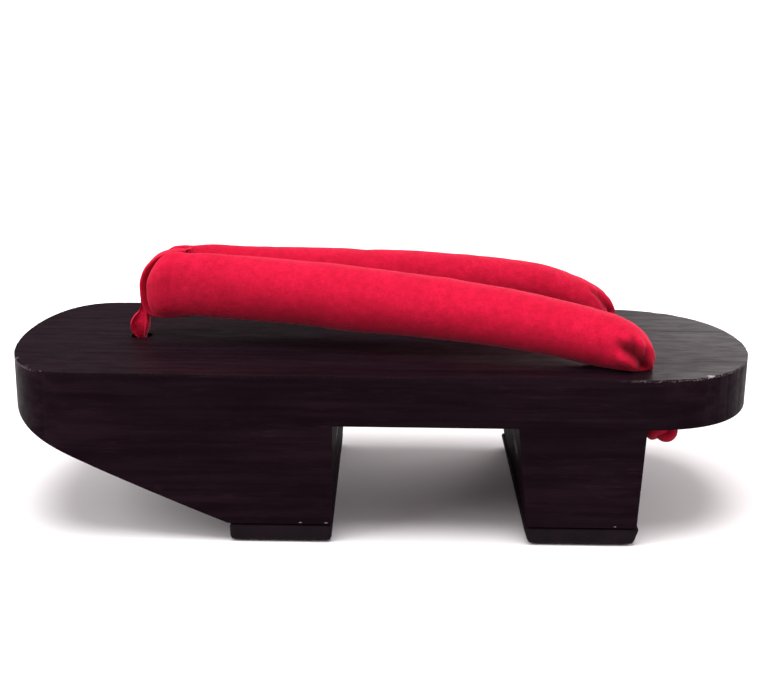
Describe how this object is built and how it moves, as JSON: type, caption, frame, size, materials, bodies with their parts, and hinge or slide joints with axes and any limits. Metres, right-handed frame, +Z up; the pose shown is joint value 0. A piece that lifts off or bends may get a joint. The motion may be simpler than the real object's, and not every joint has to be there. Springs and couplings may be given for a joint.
{
  "type": "geta sandal",
  "caption": "Wooden platform sandal on a slanted front tooth and a block rear tooth, with rubber taps and a plump red fabric strap held by a toe loop.",
  "frame": {"origin": "on the floor, under the middle of the wooden body", "axes": "+X towards the toe, +Y towards the wearer's left, +Z up"},
  "size_m": [0.24, 0.09, 0.0849],
  "materials": {
    "wood": "black-stained wood, satin, with fine lengthwise grain",
    "rubber": "black rubber, matt",
    "fabric": "crimson cotton with a short nap, padded"
  },
  "bodies": {
    "root": {"dai": "wood", "front_tap": "rubber", "rear_tap": "rubber", "hanao": "fabric", "maetsubo": "fabric", "tie_left": "fabric", "tie_right": "fabric"}
  },
  "joints": []
}
